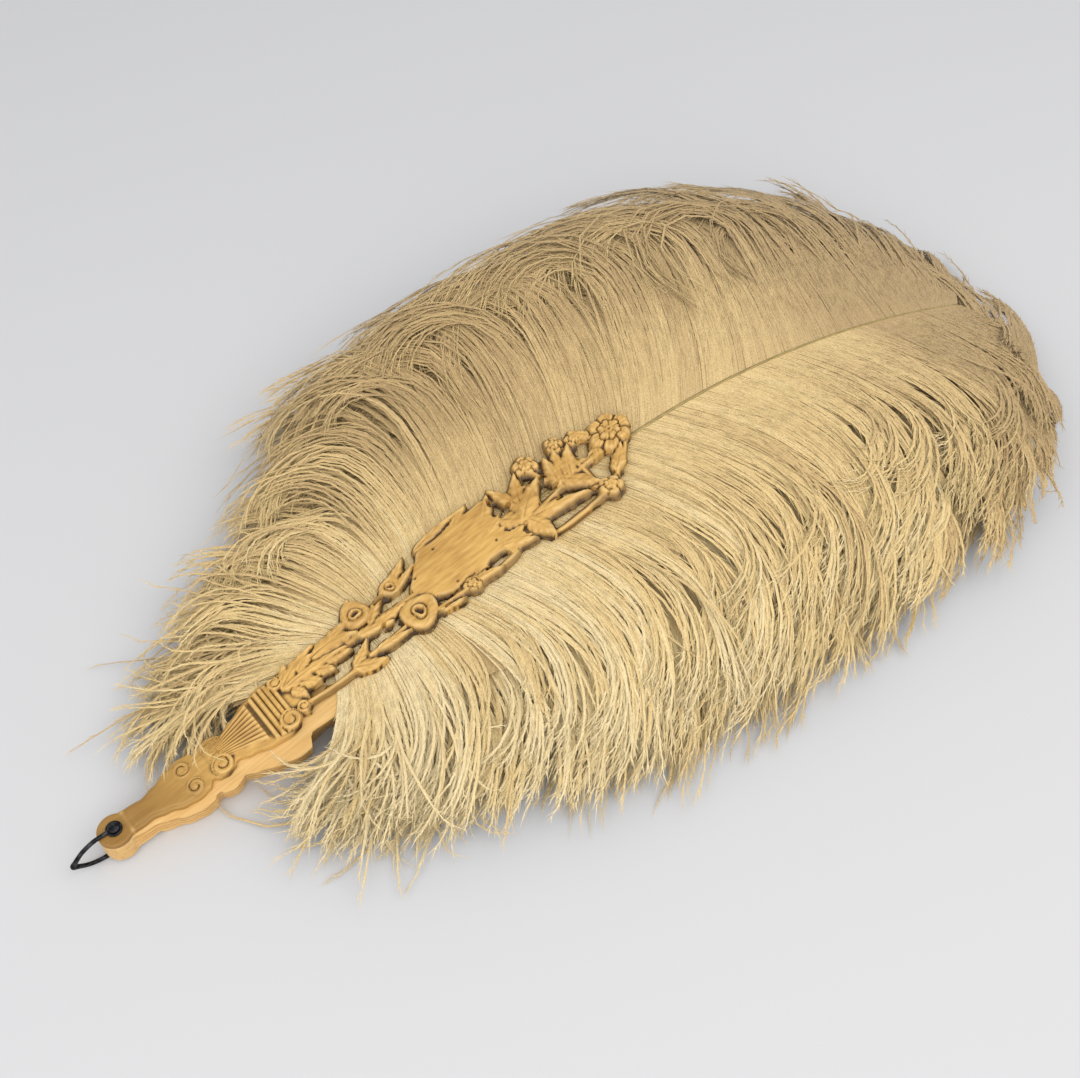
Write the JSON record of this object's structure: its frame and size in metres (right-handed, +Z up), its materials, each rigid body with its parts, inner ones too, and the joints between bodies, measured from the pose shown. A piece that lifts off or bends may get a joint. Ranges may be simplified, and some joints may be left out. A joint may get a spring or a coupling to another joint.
{
  "type": "feather fan",
  "caption": "Closed folding hand fan of pale ostrich plumes on wooden sticks, with a carved pierced front guard, a rivet and a wire bail; the sticks spread about the rivet.",
  "frame": {"origin": "middle of the closed fan's footprint, on the table that it lies on", "axes": "+X along the guards from the rivet to the plume tips, +Y to the far side, +Z up along the rivet"},
  "size_m": [0.5068, 0.2754, 0.0587],
  "materials": {
    "carved_wood": "satin",
    "stick_wood": "satin",
    "quill": "satin",
    "feather": "matte",
    "blackened_steel": "satin"
  },
  "bodies": {
    "rear_leaf": {"rear_guard": "stick_wood", "shaft_0": "quill", "near_vane_0": "feather", "far_vane_0": "feather", "rivet_pin": "blackened_steel", "rivet_cap": "blackened_steel"},
    "leaf_1": {"stick_1": "stick_wood", "shaft_1": "quill", "near_vane_1": "feather", "far_vane_1": "feather"},
    "leaf_2": {"stick_2": "stick_wood", "shaft_2": "quill", "near_vane_2": "feather", "far_vane_2": "feather"},
    "leaf_3": {"stick_3": "stick_wood", "shaft_3": "quill", "near_vane_3": "feather", "far_vane_3": "feather"},
    "leaf_4": {"stick_4": "stick_wood", "shaft_4": "quill", "near_vane_4": "feather", "far_vane_4": "feather"},
    "leaf_5": {"stick_5": "stick_wood", "shaft_5": "quill", "near_vane_5": "feather", "far_vane_5": "feather"},
    "leaf_6": {"stick_6": "stick_wood", "shaft_6": "quill", "near_vane_6": "feather", "far_vane_6": "feather"},
    "leaf_7": {"stick_7": "stick_wood", "shaft_7": "quill", "near_vane_7": "feather", "far_vane_7": "feather"},
    "leaf_8": {"stick_8": "stick_wood", "shaft_8": "quill", "near_vane_8": "feather", "far_vane_8": "feather"},
    "front_leaf": {"front_guard": "carved_wood", "shaft_9": "quill", "near_vane_9": "feather", "far_vane_9": "feather"},
    "bail": {"bail": "blackened_steel"}
  },
  "joints": [
    {"name": "fan_opening", "type": "hinge", "parent": "rear_leaf", "child": "front_leaf", "pos_m": [-0.23288, -0.004, 0.008], "axis": [0, 0, -1], "range_deg": [0, 120]},
    {"name": "leaf_1_turn", "type": "hinge", "parent": "rear_leaf", "child": "leaf_1", "pos_m": [-0.23288, -0.004, 0.008], "axis": [0, 0, -1], "range_deg": [0, 10.38]},
    {"name": "leaf_2_turn", "type": "hinge", "parent": "rear_leaf", "child": "leaf_2", "pos_m": [-0.23288, -0.004, 0.008], "axis": [0, 0, -1], "range_deg": [0, 27.72]},
    {"name": "leaf_3_turn", "type": "hinge", "parent": "rear_leaf", "child": "leaf_3", "pos_m": [-0.23288, -0.004, 0.008], "axis": [0, 0, -1], "range_deg": [0, 36.05]},
    {"name": "leaf_4_turn", "type": "hinge", "parent": "rear_leaf", "child": "leaf_4", "pos_m": [-0.23288, -0.004, 0.008], "axis": [0, 0, -1], "range_deg": [0, 52.38]},
    {"name": "leaf_5_turn", "type": "hinge", "parent": "rear_leaf", "child": "leaf_5", "pos_m": [-0.23288, -0.004, 0.008], "axis": [0, 0, -1], "range_deg": [0, 61.72]},
    {"name": "leaf_6_turn", "type": "hinge", "parent": "rear_leaf", "child": "leaf_6", "pos_m": [-0.23288, -0.004, 0.008], "axis": [0, 0, -1], "range_deg": [0, 78.05]},
    {"name": "leaf_7_turn", "type": "hinge", "parent": "rear_leaf", "child": "leaf_7", "pos_m": [-0.23288, -0.004, 0.008], "axis": [0, 0, -1], "range_deg": [0, 93.88]},
    {"name": "leaf_8_turn", "type": "hinge", "parent": "rear_leaf", "child": "leaf_8", "pos_m": [-0.23288, -0.004, 0.008], "axis": [0, 0, -1], "range_deg": [0, 99.72]},
    {"name": "bail_swing", "type": "hinge", "parent": "rear_leaf", "child": "bail", "pos_m": [-0.23288, -0.004, 0.008], "axis": [0, 0, 1], "range_deg": [-130, 18]}
  ],
  "couplings": [
    {"joint": "leaf_1_turn", "follows": "fan_opening", "ratio": 0.08611},
    {"joint": "leaf_2_turn", "follows": "fan_opening", "ratio": 0.23056},
    {"joint": "leaf_3_turn", "follows": "fan_opening", "ratio": 0.3},
    {"joint": "leaf_4_turn", "follows": "fan_opening", "ratio": 0.43611},
    {"joint": "leaf_5_turn", "follows": "fan_opening", "ratio": 0.51389},
    {"joint": "leaf_6_turn", "follows": "fan_opening", "ratio": 0.65},
    {"joint": "leaf_7_turn", "follows": "fan_opening", "ratio": 0.78194},
    {"joint": "leaf_8_turn", "follows": "fan_opening", "ratio": 0.83056}
  ]
}
